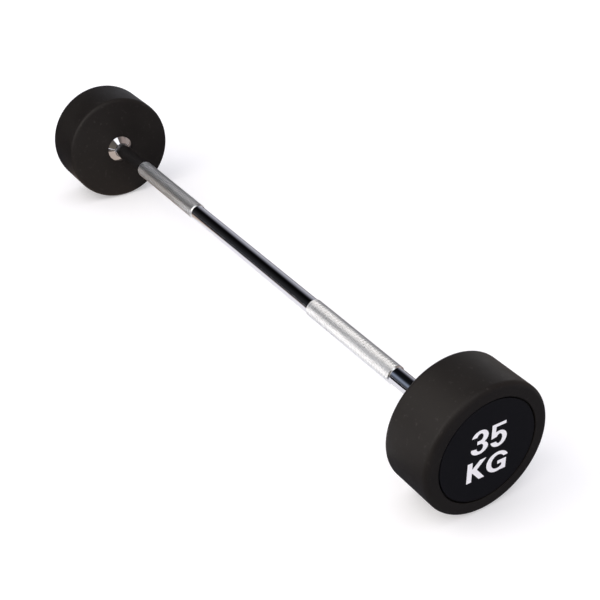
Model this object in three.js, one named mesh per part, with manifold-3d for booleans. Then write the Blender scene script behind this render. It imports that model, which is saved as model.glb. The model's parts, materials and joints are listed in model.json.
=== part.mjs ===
// A fixed straight barbell: a chromed bar with a rubber-covered steel head on each end.
// Sizes are in millimetres. +X runs along the bar, +Z is up, and the origin is on the floor
// under the middle of the bar, where the two heads rest.
import * as THREE from "three";
import { mergeVertices } from "three/addons/utils/BufferGeometryUtils.js";
import Module from "manifold-3d";

// Bar
const SMOOTH_DIA = 25.4; // polished middle and necks
const GRIP_DIA = 28.6; // over the knurled grips
const MIDDLE_LENGTH = 360; // smooth stretch between the grips
const GRIP_LENGTH = 206;
const NECK_LENGTH = 104; // smooth stretch from a grip to the face of a head
const GRIP_CHAMFER = 2; // along the bar, at both ends of a grip
const SPIGOT_STEP = 1.7; // height of the shoulder that a hub sleeve seats against
const SPIGOT_CHAMFER = 1.2;
const SPIGOT_SHORT = 2; // how far the spigot stops short of the clamping washer

// Head
const HEAD_DIA = 194;
const HEAD_WIDTH = 86;
const HEAD_SHOULDER = 7; // radius of the rounded rubber shoulders
const RUBBER_WALL = 4.5; // over the rim and the inner face of the core
const RECESS_DIA = 154; // recess of the outer face, which holds the end cap
const RECESS_DEPTH = 5;
const RECESS_CHAMFER = 1; // softened mouth of the recess
const RECESS_FLOOR = 3; // rubber left between the recess and the core
const CORE_CHAMFER = 3;

// Locking grooves of the core and the rubber ribs moulded into them
const LOCK_DEPTH = 3;
const LOCK_MOUTH = 12; // width at the core's rim
const LOCK_BASE = 8; // width at the bottom of the groove
const LOCK_PLACE_SHARES = [0.27, 0.73]; // groove centres, as shares of the core's width

// Collar ring
const COLLAR_DIA = 48;
const COLLAR_PROUD = 7.5; // how far the cone stands out of the rubber
const COLLAR_LIP = 0.8; // flat lip round the bar at the nose of the cone

// Hub sleeve
const SLEEVE_WALL = 7;
const FLANGE_RIM = 6.5; // how far the flange reaches past the sleeve's wall
const FLANGE_THICKNESS = 5;

// Drive pins, driven half into the spigot and half into the sleeve
const PIN_DIA = 5;
const PIN_LENGTH = 28;
const PIN_CHAMFER = 0.8;

// Fastening
const BOLT_DIA = 12;
const BOLT_LENGTH = 40; // shank under the head
const BOLT_CHAMFER = 1.2;
const BOLT_HEAD_SHARE = 1.5; // head diameter over shank diameter, as on socket-head screws
const BOLT_SOCKET_SHARE = 0.83; // hexagon across its flats over shank diameter
const BOLT_SOCKET_DEPTH_SHARE = 0.5; // socket depth over head height
const BOLT_RUN_OUT = 6; // free depth of the tapped hole past the bolt
const BOLT_COVER = 2; // free space between the bolt's head and the rubber's outer end
const WASHER_LAP = 6; // how far the washer laps over the core, past the sleeve
const WASHER_THICKNESS = 5;
const LOCK_WASHER_WIDTH = 4;
const LOCK_WASHER_THICKNESS = 3;
const LOCK_WASHER_SLIT = 1.6;
const LOCK_WASHER_SLANT = THREE.MathUtils.degToRad(25);
const WRENCH_ROOM = 4; // round the washer, in the counterbore
const ACCESS_RIM = 1; // how far the rubber stands back from the counterbore

// End cap
const CAP_GROOVE = 2; // width of the ring groove round the cap
const CAP_SETBACK = 0.5; // how far the cap lies below the outer face of the rubber
const CAP_ROUND = 1.2;
const CAP_RING_WALL = 2.5; // locating ring on the back of the cap

const SEAT_GAP = 0.3; // clearance left between a piece and its seat
const OVERRUN = 1; // how far a cutting solid reaches past the surface that it cuts

const HEAD_FACETS = 44;
const BAR_FACETS = 32;
const SMALL_FACETS = 24;
const PIN_FACETS = 12;
const HEXAGON = 6;
const SHOULDER_STEPS = 3;
const ROUND_STEPS = 2;
const QUARTER = Math.PI / 2;

// Places along the bar, measured from its middle towards one end
const gripStart = MIDDLE_LENGTH / 2;
const gripEnd = gripStart + GRIP_LENGTH;
const innerFace = gripEnd + NECK_LENGTH;
const outerFace = innerFace + HEAD_WIDTH;
const cavityStart = innerFace + RUBBER_WALL;
const recessFloor = outerFace - RECESS_DEPTH;
const cavityEnd = recessFloor - RECESS_FLOOR;
const coreStart = cavityStart + SEAT_GAP;
const coreEnd = cavityEnd - SEAT_GAP;
const boltHeadEnd = recessFloor - BOLT_COVER;
const boltSeat = boltHeadEnd - BOLT_DIA;
const lockWasherStart = boltSeat - SEAT_GAP - LOCK_WASHER_THICKNESS;
const washerStart = lockWasherStart - SEAT_GAP - WASHER_THICKNESS;
const counterboreFloor = washerStart - SEAT_GAP;
const barShoulder = coreStart - SEAT_GAP;
const spigotEnd = counterboreFloor - SPIGOT_SHORT;
const boltEnd = boltSeat - BOLT_LENGTH;
const pinEnd = counterboreFloor - SEAT_GAP;
const pinStart = pinEnd - PIN_LENGTH;
const capBack = recessFloor + SEAT_GAP;
const capFront = outerFace - CAP_SETBACK;

// Radii about the bar's axis
const neckRadius = SMOOTH_DIA / 2;
const gripRadius = GRIP_DIA / 2;
const spigotRadius = neckRadius - SPIGOT_STEP;
const sleeveBore = spigotRadius + SEAT_GAP;
const sleeveRadius = sleeveBore + SLEEVE_WALL;
const flangeRadius = sleeveRadius + FLANGE_RIM;
const pinCircle = spigotRadius + SEAT_GAP / 2;
const washerRadius = sleeveRadius + WASHER_LAP;
const counterboreRadius = washerRadius + WRENCH_ROOM;
const accessRadius = counterboreRadius + ACCESS_RIM;
const headRadius = HEAD_DIA / 2;
const cavityRadius = headRadius - RUBBER_WALL;
const coreRadius = cavityRadius - SEAT_GAP;
const collarRadius = COLLAR_DIA / 2;
const collarBore = neckRadius + SEAT_GAP;
const boltHole = BOLT_DIA / 2 + SEAT_GAP;
const axisHeight = headRadius * Math.cos(Math.PI / HEAD_FACETS); // the heads rest on one facet each

const wasm = await Module();
wasm.setup();

// Points of a quarter or other arc round (along, radius), from one angle to another.
function arc(along, radius, reachAlong, reachOut, from, to, steps) {
  return Array.from({ length: steps + 1 }, (_, i) => {
    const angle = from + ((to - from) * i) / steps;
    return [along + reachAlong * Math.cos(angle), radius + reachOut * Math.sin(angle)];
  });
}

// A solid of revolution about X from [along, radius] points, with a flat facet facing down.
function revolved(profile, facets) {
  const points = profile.map(([along, radius]) => new THREE.Vector2(radius, along));
  const geometry = new THREE.LatheGeometry(points, facets, Math.PI / facets);
  return geometry.rotateZ(-QUARTER);
}

// A closed profile ends where it starts.
function ring(profile, facets) {
  return revolved([...profile, profile[0]], facets);
}

// A round bar along X that starts at a place on X.
function rod(radius, start, length, facets) {
  const geometry = new THREE.CylinderGeometry(radius, radius, length, facets);
  return geometry.rotateZ(-QUARTER).translate(start + length / 2, 0, 0);
}

function toSolid(geometry) {
  const bare = new THREE.BufferGeometry();
  bare.setAttribute("position", geometry.getAttribute("position"));
  if (geometry.index) bare.setIndex(geometry.index);
  const merged = mergeVertices(bare);
  const mesh = new wasm.Mesh({
    numProp: 3,
    vertProperties: merged.getAttribute("position").array,
    triVerts: new Uint32Array(merged.index.array),
  });
  return new wasm.Manifold(mesh);
}

function cut(body, tools) {
  const solid = tools.reduce((rest, tool) => rest.subtract(toSolid(tool)), toSolid(body));
  const mesh = solid.getMesh();
  const geometry = new THREE.BufferGeometry();
  geometry.setAttribute("position", new THREE.BufferAttribute(mesh.vertProperties, mesh.numProp));
  geometry.setIndex(new THREE.BufferAttribute(mesh.triVerts, 1));
  geometry.computeVertexNormals();
  return geometry;
}

// The two pins of a head lie above and below the axis, on the joint between spigot and sleeve.
const pinPlaces = [
  ["upper", pinCircle],
  ["lower", -pinCircle],
];

function pinHoles(toEnd) {
  const start = pinStart - SEAT_GAP;
  return pinPlaces.map(([, height]) =>
    rod(PIN_DIA / 2 + SEAT_GAP, start, toEnd - start, PIN_FACETS).translate(0, 0, height),
  );
}

// The stepped bar, from one end of the tapped holes to the other.
function barShaft() {
  const holeBottom = boltEnd - BOLT_RUN_OUT;
  const half = [
    [gripStart, neckRadius],
    [gripStart + GRIP_CHAMFER, gripRadius],
    [gripEnd - GRIP_CHAMFER, gripRadius],
    [gripEnd, neckRadius],
    [barShoulder, neckRadius],
    [barShoulder, spigotRadius],
    [spigotEnd - SPIGOT_CHAMFER, spigotRadius],
    [spigotEnd, spigotRadius - SPIGOT_CHAMFER],
    [spigotEnd, boltHole],
    [holeBottom, boltHole],
    [holeBottom, 0],
  ];
  const mirrored = half.map(([along, radius]) => [-along, radius]).reverse();
  const bar = revolved([...mirrored, ...half], BAR_FACETS);
  const holes = pinHoles(spigotEnd + OVERRUN);
  return cut(bar, [...holes, ...holes.map((hole) => hole.clone().rotateZ(Math.PI))]);
}

// The collar ring: a cone from the lip on the bar out to the face of the rubber.
function collarRing() {
  const base = coreStart - SEAT_GAP;
  return ring(
    [
      [base, collarBore],
      [innerFace - COLLAR_PROUD, collarBore],
      [innerFace - COLLAR_PROUD, collarBore + COLLAR_LIP],
      [innerFace, collarRadius],
      [base, collarRadius],
    ],
    BAR_FACETS,
  );
}

function lockCentres() {
  return LOCK_PLACE_SHARES.map((share) => coreStart + (coreEnd - coreStart) * share);
}

// One locking groove, or the rib that fills it once the clearance is taken off its sides.
function lockProfile(centre, rim, clearance) {
  const mouth = LOCK_MOUTH / 2 - clearance;
  const base = LOCK_BASE / 2 - clearance;
  return [
    [centre - mouth, rim],
    [centre - base, rim - LOCK_DEPTH],
    [centre + base, rim - LOCK_DEPTH],
    [centre + mouth, rim],
  ];
}

// The steel core: bored for the sleeve, counterbored at both ends and grooved round its rim.
function headCore() {
  const bore = sleeveRadius + SEAT_GAP;
  const flangeSeat = coreStart + FLANGE_THICKNESS + SEAT_GAP;
  return ring(
    [
      [flangeSeat, bore],
      [flangeSeat, flangeRadius + SEAT_GAP],
      [coreStart, flangeRadius + SEAT_GAP],
      [coreStart, coreRadius - CORE_CHAMFER],
      [coreStart + CORE_CHAMFER, coreRadius],
      ...lockCentres().flatMap((centre) => lockProfile(centre, coreRadius, 0)),
      [coreEnd - CORE_CHAMFER, coreRadius],
      [coreEnd, coreRadius - CORE_CHAMFER],
      [coreEnd, counterboreRadius],
      [counterboreFloor, counterboreRadius],
      [counterboreFloor, bore],
    ],
    HEAD_FACETS,
  );
}

// The moulded rubber jacket: rounded shoulders outside, a recess for the end cap, and ribs
// inside that lock into the grooves of the core.
function headJacket() {
  const hole = collarRadius + SEAT_GAP;
  const recess = RECESS_DIA / 2;
  const shoulderRadius = headRadius - HEAD_SHOULDER;
  const bend = [HEAD_SHOULDER, HEAD_SHOULDER];
  const ribs = lockCentres().flatMap((centre) => lockProfile(centre, cavityRadius, SEAT_GAP));
  return ring(
    [
      [innerFace, hole],
      ...arc(innerFace + HEAD_SHOULDER, shoulderRadius, ...bend, 2 * QUARTER, QUARTER, SHOULDER_STEPS),
      ...arc(outerFace - HEAD_SHOULDER, shoulderRadius, ...bend, QUARTER, 0, SHOULDER_STEPS),
      [outerFace, recess + RECESS_CHAMFER],
      [outerFace - RECESS_CHAMFER, recess],
      [recessFloor, recess],
      [recessFloor, accessRadius],
      [cavityEnd, accessRadius],
      [cavityEnd, cavityRadius - CORE_CHAMFER],
      [cavityEnd - CORE_CHAMFER, cavityRadius],
      ...ribs.reverse(),
      [cavityStart + CORE_CHAMFER, cavityRadius],
      [cavityStart, cavityRadius - CORE_CHAMFER],
      [cavityStart, hole],
    ],
    HEAD_FACETS,
  );
}

function hubSleeve() {
  const end = counterboreFloor - SEAT_GAP;
  const sleeve = ring(
    [
      [coreStart, sleeveBore],
      [coreStart, flangeRadius],
      [coreStart + FLANGE_THICKNESS, flangeRadius],
      [coreStart + FLANGE_THICKNESS, sleeveRadius],
      [end, sleeveRadius],
      [end, sleeveBore],
    ],
    BAR_FACETS,
  );
  return cut(sleeve, pinHoles(end + OVERRUN));
}

function drivePin() {
  const radius = PIN_DIA / 2;
  return revolved(
    [
      [pinStart, 0],
      [pinStart, radius - PIN_CHAMFER],
      [pinStart + PIN_CHAMFER, radius],
      [pinEnd - PIN_CHAMFER, radius],
      [pinEnd, radius - PIN_CHAMFER],
      [pinEnd, 0],
    ],
    PIN_FACETS,
  );
}

function flatWasher(start, thickness, outerRadius) {
  return ring(
    [
      [start, boltHole],
      [start, outerRadius],
      [start + thickness, outerRadius],
      [start + thickness, boltHole],
    ],
    SMALL_FACETS,
  );
}

// A spring washer under load lies flat, with its two ends parted by a slanted slit.
function lockWasher() {
  const washer = flatWasher(lockWasherStart, LOCK_WASHER_THICKNESS, boltHole + LOCK_WASHER_WIDTH);
  const slit = new THREE.BoxGeometry(
    2 * LOCK_WASHER_THICKNESS,
    LOCK_WASHER_SLIT,
    LOCK_WASHER_WIDTH + 2 * OVERRUN,
  );
  slit.rotateZ(LOCK_WASHER_SLANT);
  const middle = lockWasherStart + LOCK_WASHER_THICKNESS / 2;
  slit.translate(middle, 0, boltHole + LOCK_WASHER_WIDTH / 2);
  return cut(washer, [slit]);
}

// A socket-head cap screw: its head is as tall as its shank is thick.
function retainingBolt() {
  const shank = BOLT_DIA / 2;
  const head = shank * BOLT_HEAD_SHARE;
  const screw = revolved(
    [
      [boltEnd, 0],
      [boltEnd, shank - BOLT_CHAMFER],
      [boltEnd + BOLT_CHAMFER, shank],
      [boltSeat, shank],
      [boltSeat, head],
      [boltHeadEnd - BOLT_CHAMFER, head],
      [boltHeadEnd, head - BOLT_CHAMFER],
      [boltHeadEnd, 0],
    ],
    SMALL_FACETS,
  );
  const socketDepth = BOLT_DIA * BOLT_SOCKET_DEPTH_SHARE;
  const cornerRadius = (BOLT_DIA * BOLT_SOCKET_SHARE) / 2 / Math.cos(Math.PI / HEXAGON);
  const socket = rod(cornerRadius, boltHeadEnd - socketDepth, socketDepth + OVERRUN, HEXAGON);
  return cut(screw, [socket]);
}

// The end cap: a plain disc with a rounded rim, and a ring behind it that finds the access hole.
function endCap() {
  const rim = RECESS_DIA / 2 - CAP_GROOVE;
  const ringOuter = accessRadius - SEAT_GAP;
  const ringInner = ringOuter - CAP_RING_WALL;
  const ringEnd = cavityEnd + SEAT_GAP;
  return revolved(
    [
      [capBack, 0],
      [capBack, ringInner],
      [ringEnd, ringInner],
      [ringEnd, ringOuter],
      [capBack, ringOuter],
      [capBack, rim],
      ...arc(capFront - CAP_ROUND, rim - CAP_ROUND, CAP_ROUND, CAP_ROUND, QUARTER, 0, ROUND_STEPS),
      [capFront, 0],
    ],
    HEAD_FACETS,
  );
}

function finish(color, roughness, metalness) {
  return new THREE.MeshStandardMaterial({ color, roughness, metalness });
}

function piece(name, geometry, material) {
  const mesh = new THREE.Mesh(geometry, material);
  mesh.name = name;
  return mesh;
}

const chrome = () => finish(0xc9ccd1, 0.08, 1);
const rubber = () => finish(0x2a2726, 0.7, 0);
const capPlastic = () => finish(0x18171c, 0.5, 0);
const machinedSteel = () => finish(0x8b8d90, 0.4, 0.9);
const castSteel = () => finish(0x5a5b5d, 0.6, 0.7);
const blackSteel = () => finish(0x2b2c2e, 0.5, 0.8);

// Everything on one end of the bar, named for its side.
function headPieces(side) {
  const pins = pinPlaces.map(([place, height]) => {
    const pin = piece(`${side}_drive_pin_${place}`, drivePin(), machinedSteel());
    pin.position.z = height;
    return pin;
  });
  return [
    piece(`${side}_collar_ring`, collarRing(), chrome()),
    piece(`${side}_head_jacket`, headJacket(), rubber()),
    piece(`${side}_head_core`, headCore(), castSteel()),
    piece(`${side}_hub_sleeve`, hubSleeve(), machinedSteel()),
    piece(
      `${side}_retaining_washer`,
      flatWasher(washerStart, WASHER_THICKNESS, washerRadius),
      machinedSteel(),
    ),
    piece(`${side}_lock_washer`, lockWasher(), machinedSteel()),
    piece(`${side}_retaining_bolt`, retainingBolt(), blackSteel()),
    piece(`${side}_end_cap`, endCap(), capPlastic()),
    ...pins,
  ];
}

const barbell = new THREE.Group();
barbell.position.z = axisHeight;
barbell.add(piece("bar_shaft", barShaft(), chrome()));

// The left head is the right one turned half round about the upright axis.
for (const [side, turn] of [
  ["right", 0],
  ["left", Math.PI],
]) {
  const end = new THREE.Group();
  end.rotation.z = turn;
  end.add(...headPieces(side));
  barbell.add(end);
}

const part = new THREE.Group();
part.add(barbell);

export default part;
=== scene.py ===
# %% [markdown]
# A fixed straight barbell, dressed for a studio picture.
#
# The object is one chromed steel bar with a thick round head on each end. A head is a steel core
# inside a moulded rubber jacket, with a flat plastic cap set into its outer face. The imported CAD
# model already holds every piece at its real size, so this script makes only what the eye sees:
# smooth turned surfaces, the diamond knurl of the grips, the white weight mark, and the finishes.

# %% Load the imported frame
import json
import math

import bmesh
import bpy
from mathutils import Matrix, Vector


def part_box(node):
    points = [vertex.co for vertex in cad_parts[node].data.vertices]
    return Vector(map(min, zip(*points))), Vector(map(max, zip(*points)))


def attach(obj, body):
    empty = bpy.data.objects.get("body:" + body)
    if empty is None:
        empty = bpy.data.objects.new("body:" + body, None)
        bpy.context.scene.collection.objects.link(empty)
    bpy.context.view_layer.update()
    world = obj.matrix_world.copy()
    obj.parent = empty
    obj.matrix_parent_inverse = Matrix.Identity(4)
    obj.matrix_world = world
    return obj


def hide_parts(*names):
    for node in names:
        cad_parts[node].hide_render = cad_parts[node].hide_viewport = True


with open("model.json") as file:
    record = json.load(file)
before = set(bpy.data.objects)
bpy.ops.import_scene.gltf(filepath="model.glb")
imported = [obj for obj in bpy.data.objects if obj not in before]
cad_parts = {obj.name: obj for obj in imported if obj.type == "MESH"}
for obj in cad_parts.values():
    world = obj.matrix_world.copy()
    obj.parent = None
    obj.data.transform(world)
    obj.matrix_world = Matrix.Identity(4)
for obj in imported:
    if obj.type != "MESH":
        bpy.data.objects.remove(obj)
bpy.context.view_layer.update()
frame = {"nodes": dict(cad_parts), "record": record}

# %% [markdown]
# Every length below is written in millimetres and turned to metres by one factor. The places that
# the pieces share, such as the faces of a head and the height of the bar, are read from the frame.
# The CAD solids have flat facets, so the true radii of round pieces are named here instead.

# %% Sizes
MM = 0.001
GRIP_RADIUS = 14.3
NECK_RADIUS = 12.7
MIDDLE_HALF = 180.0
GRIP_LENGTH = 206.0
GRIP_CHAMFER = 2.0
SPIGOT_RADIUS = 11.0
SPIGOT_CHAMFER = 1.2
THREAD_RADIUS = 6.3
THREAD_END = 511.0
COLLAR_RADIUS = 24.0
COLLAR_PROUD = 7.5
COLLAR_LIP = 0.8
COLLAR_BULGE = 0.2
SEAT_GAP = 0.3
SHOULDER = 7.0
RECESS_RADIUS = 77.0
RECESS_DEPTH = 5.0
RECESS_FLOOR = 3.0
RUBBER_WALL = 4.5
ACCESS_RADIUS = 29.3
CORE_CHAMFER = 3.0
CAP_GROOVE = 2.0
CAP_ROUND = 1.2
CAP_RING_WALL = 2.5


def corners_mm(node):
    """Lowest and highest corner of a CAD node, in millimetres."""
    return [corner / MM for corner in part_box(node)]


shaft_low, shaft_high = corners_mm("bar_shaft")
jacket_low, jacket_high = corners_mm("right_head_jacket")
pin_low, pin_high = corners_mm("right_drive_pin_upper")

axis_height = (shaft_low.z + shaft_high.z) / 2
inner_face, outer_face = jacket_low.x, jacket_high.x
head_radius = jacket_high.z - axis_height
spigot_end = shaft_high.x
bar_shoulder = corners_mm("right_hub_sleeve")[0].x - SEAT_GAP
cap_front = corners_mm("right_end_cap")[1].x
print(f"axis height {axis_height:.2f}, head radius {head_radius:.2f} mm")
print(f"head width {outer_face - inner_face:.1f} mm")

# %% [markdown]
# Blender's node trees, both for shapes and for materials, are built by adding one node after
# another. One small helper does it: it makes the node, applies its settings, and fills each input
# with a value or with a link from another node. Most nodes have one output or are read at their
# first, so the node itself may stand for that. Colours are written as sRGB hex values, as a colour
# picker shows them, and turned to the linear values that Blender's sockets expect.

# %% Node and colour helpers
RGB_CHANNELS = 3
BYTE_FULL = 255
SRGB_KNEE, SRGB_SLOPE = 0.04045, 12.92
SRGB_OFFSET, SRGB_POWER = 0.055, 2.4
WHITE = 0xFFFFFF
HALF_GREY = 0x808080
FINE_DETAIL, BROAD_DETAIL = 3.0, 5.0
# A Mix node has sockets of the same name for each type, so they are told apart by their numbers.
LEVEL_A, LEVEL_B = 2, 3
TONE_A, TONE_B, TONE_MIXED = 6, 7, 2


def add(tree, kind, inputs=None, **settings):
    """Adds a node. Each input gets a value, or a link from a socket or a node's first output."""
    node = tree.nodes.new(kind)
    for name, value in settings.items():
        setattr(node, name, value)
    for socket, value in (inputs or {}).items():
        if isinstance(value, bpy.types.Node):
            value = value.outputs[0]
        if isinstance(value, bpy.types.NodeSocket):
            tree.links.new(value, node.inputs[socket])
        else:
            node.inputs[socket].default_value = value
    return node


def colour(hex_value):
    """An sRGB hex value such as 0x1f1c1b as linear red, green, blue and alpha."""
    linear = []
    for byte in hex_value.to_bytes(RGB_CHANNELS, "big"):
        channel = byte / BYTE_FULL
        if channel <= SRGB_KNEE:
            linear.append(channel / SRGB_SLOPE)
        else:
            linear.append(((channel + SRGB_OFFSET) / (1 + SRGB_OFFSET)) ** SRGB_POWER)
    return (*linear, 1.0)


def blank_material(name):
    """A new material and its tree, which is still empty."""
    material = bpy.data.materials.new(name)
    material.use_nodes = True
    material.node_tree.nodes.clear()
    return material, material.node_tree


print("half grey in sRGB sends back", round(colour(HALF_GREY)[0], 3), "of the light")

# %% [markdown]
# The camera stands where the photographer stood, high at the right end of the bar. Its place, its
# direction and its lens were worked out by fitting the outlines of the two heads and the bar. The
# picture is a crop that is not centred on the lens's axis, which the small shift reproduces.

# %% Camera
CAMERA_PLACE = Vector((1379.6, -768.0, 993.0))
CAMERA_LOOK = Vector((-0.7009, 0.4600, -0.5451))
CAMERA_LENS = 68.7
CAMERA_SHIFT = 0.0408


def in_scene(name, data):
    """A new object in the scene, from a mesh, a lamp or a camera."""
    thing = bpy.data.objects.new(name, data)
    bpy.context.scene.collection.objects.link(thing)
    return thing


def aim(thing, place, direction):
    """Puts a camera or a lamp at a place in metres, so that it looks along a direction."""
    thing.location = place
    thing.rotation_mode = "QUATERNION"
    thing.rotation_quaternion = direction.to_track_quat("-Z", "Y")


camera_data = bpy.data.cameras.new("camera")
camera_data.lens = CAMERA_LENS
camera_data.shift_x = -CAMERA_SHIFT
camera_data.shift_y = CAMERA_SHIFT
camera = in_scene("camera", camera_data)
aim(camera, CAMERA_PLACE * MM, CAMERA_LOOK)
bpy.context.scene.camera = camera
bpy.context.scene.view_settings.view_transform = "Standard"
print("camera at", [round(place, 3) for place in camera.location], "with a", CAMERA_LENS, "mm lens")

# %% [markdown]
# The floor is white photo paper that runs on into white surroundings. A strong light on it would
# make it white as well, but would turn the black rubber grey. So the light stays moderate, and the
# paper and the surroundings are lifted to white only for the rays that look at them or mirror them.
# The paper keeps the soft shadow of the heads, and is lifted more the farther it lies from them.

# %% Floor and surroundings
FLOOR_HALF = 15.0
FLOOR_COLOUR = 0xE6E6E6
LIFT_NEAR, LIFT_FAR = 0.28, 0.6
LIFT_REACH = (0.5, 2.5)
SKY_LEVEL = 0.86
SKY_COLOUR = 0xF8F7FF


def sheet(name, points, faces, material):
    """A stage object from corner points in metres."""
    mesh = bpy.data.meshes.new(name)
    mesh.from_pydata(points, [], faces)
    mesh.materials.append(material)
    thing = in_scene(name, mesh)
    return thing


def seen_directly(tree):
    """A node that is 1 for camera, mirror and glass rays, and 0 for the rays that light things."""
    path = add(tree, "ShaderNodeLightPath")
    sharp = add(tree, "ShaderNodeMath", {0: path.outputs["Is Camera Ray"],
                                         1: path.outputs["Is Glossy Ray"]}, operation="MAXIMUM")
    return add(tree, "ShaderNodeMath", {0: sharp, 1: path.outputs["Is Transmission Ray"]},
               operation="MAXIMUM")


def paper_floor():
    """White photo paper. It is lit and shaded as paper, and lifted to white where it is looked at."""
    material, tree = blank_material("white_photo_paper")
    paper = add(tree, "ShaderNodeBsdfDiffuse", {"Color": colour(FLOOR_COLOUR)})
    place = add(tree, "ShaderNodeTexCoord")
    distance = add(tree, "ShaderNodeVectorMath", {0: place.outputs["Object"]}, operation="LENGTH")
    level = add(tree, "ShaderNodeMapRange", {
        "Value": distance.outputs["Value"], "From Min": LIFT_REACH[0], "From Max": LIFT_REACH[1],
        "To Min": LIFT_NEAR, "To Max": LIFT_FAR})
    lift = add(tree, "ShaderNodeMath", {0: seen_directly(tree), 1: level}, operation="MULTIPLY")
    glow = add(tree, "ShaderNodeEmission", {"Strength": lift})
    both = add(tree, "ShaderNodeAddShader", {0: paper, 1: glow})
    add(tree, "ShaderNodeOutputMaterial", {"Surface": both})
    return material


def white_surroundings():
    """White where they are looked at, and a plain even light on everything else."""
    world = bpy.data.worlds.new("studio")
    world.use_nodes = True
    tree = world.node_tree
    tree.nodes.clear()
    seen = seen_directly(tree)
    level = add(tree, "ShaderNodeMix", {0: seen, LEVEL_A: SKY_LEVEL, LEVEL_B: 1.0})
    tint = add(tree, "ShaderNodeMix", {0: seen, TONE_A: colour(SKY_COLOUR), TONE_B: colour(WHITE)},
               data_type="RGBA")
    glow = add(tree, "ShaderNodeBackground", {"Color": tint.outputs[TONE_MIXED], "Strength": level})
    add(tree, "ShaderNodeOutputWorld", {"Surface": glow})
    bpy.context.scene.world = world


corner = FLOOR_HALF
sheet("floor", [(-corner, -corner, 0), (corner, -corner, 0), (corner, corner, 0), (-corner, corner, 0)],
      [(0, 1, 2, 3)], paper_floor())
white_surroundings()
print("floor", 2 * FLOOR_HALF, "m wide, surroundings at level", SKY_LEVEL)

# %% [markdown]
# One wide softbox hangs high in front of the bar. It lights the rubber, and it also shows in the
# chrome. A smaller fill lamp stands low by the near head and brings out the satin of its side. It
# isn't mirrored, because a second bright line would run along the bar.

# %% Softboxes
SOFTBOX_PLACE = Vector((-0.075, -1.3, 1.3))
SOFTBOX_SIZE = (1.15, 1.9)
SOFTBOX_POWER = 15.0
SOFTBOX_COLOUR = 0xFFF8F0
FILL_PLACE = Vector((1.25, -1.4, 0.75))
FILL_SIZE = (1.0, 1.0)
FILL_POWER = 10.0


def lamp(name, place, size, power, hex_value, mirrored):
    """A flat rectangular softbox that points straight across at the bar's axis, level along it."""
    light = bpy.data.lights.new(name, "AREA")
    light.shape = "RECTANGLE"
    light.size, light.size_y = size
    light.energy = power
    light.color = colour(hex_value)[:RGB_CHANNELS]
    thing = in_scene(name, light)
    aim(thing, place, Vector((0, -place.y, axis_height * MM - place.z)))
    thing.visible_camera = False
    thing.visible_glossy = mirrored


lamp("softbox", SOFTBOX_PLACE, SOFTBOX_SIZE, SOFTBOX_POWER, SOFTBOX_COLOUR, True)
lamp("fill", FILL_PLACE, FILL_SIZE, FILL_POWER, SOFTBOX_COLOUR, False)
print("softbox of", SOFTBOX_SIZE, "m at", SOFTBOX_PLACE[2], "m, fill lamp of", FILL_SIZE, "m")

# %% [markdown]
# With white all round it, polished chrome would look like white plaster. A photographer hangs dark
# cloth round it and watches the reflections. Here a tent, half a cylinder along the bar, stands in
# for that cloth. It glows with its own greys and whites instead of being lit, and only mirrors see
# it: it casts no shadow and lights nothing else. So what the steel shows of it is a painted
# reflection, and its white bands are painted lamp highlights. It is made in stretches along the
# bar, because each shows at another place. The smooth steel mirrors the two stretches on the left,
# as the dark line of the middle and the blue glint of the near neck. The far grip and the near grip
# mirror the next two. The far collar ring mirrors the side lamp's and the right one.

# %% The tent that only mirrors see
TENT_RADIUS = 2.6
TENT_REACH = 7.0
TENT_STEPS = 48
TENT_START, TENT_END = -2.0, 182.0
# Each stretch glows with its greys, a painted reflection in the steel, and its whites are painted lamp
# highlights.
# Each stretch of the tent, from left to right: its right end in metres along the bar, its strength,
# and its greys by degrees up from the horizon behind the bar.
TENT_PAINTED_REFLECTIONS = [
    ("left_tent", -2.15, 1.0, [
        (0, 0xC8C8D0), (24, 0xC4C4CC), (42, 0xAAAAB2), (57, 0x7A7A82), (70, 0x38383C), (83, 0x0C0C0D),
        (96, 0x060606), (130, 0x1C1C1E), (155, 0x343436), (182, 0x28282A)]),
    ("neck_tent", -1.55, 1.0, [
        (0, 0xC0C0C8), (24, 0xA6A6AE), (42, 0x525258), (57, 0x101012), (107, 0x141619), (119, 0x383C44),
        (131, 0x7A8290), (142, 0x9CA6B8), (154, 0x868E9C), (166, 0x5C6068), (178, 0x42444A),
        (182, 0x3C3C40)]),
    ("side_tent", -0.97, 1.6, [
        (0, 0xFFFFFF), (20, 0xFFFFFF), (40, 0x9C948E), (55, 0x35302C), (70, 0x35302C), (85, 0x4A4540),
        (100, 0x504A46), (130, 0x2A2623), (182, 0x2A2623)]),
    ("grip_tent", 0.6, 1.35, [
        (0, 0x9C908A), (22, 0x9C908A), (40, 0x4A4946), (70, 0x4A4946), (85, 0xB4B3B0),
        (182, 0xFFFFFF)]),
    ("side_lamp_tent", 3.4, 1.6, [
        (0, 0x8C7E78), (44, 0x8C7E78), (62, 0x5C5450), (77, 0x5C5450), (79, 0xFFFFFF), (108, 0xFFFFFF),
        (115, 0x504C48), (182, 0x605A50)]),
    ("right_tent", TENT_REACH, 1.0, [
        (0, 0xAAA09C), (60, 0x404040), (120, 0x404040), (182, 0x606060)]),
]


def for_mirrors_only(thing):
    """Hides a sheet from every ray except those that a glossy surface sends out."""
    thing.visible_camera = False
    thing.visible_diffuse = False
    thing.visible_shadow = False
    thing.visible_transmission = False
    thing.visible_volume_scatter = False


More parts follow.
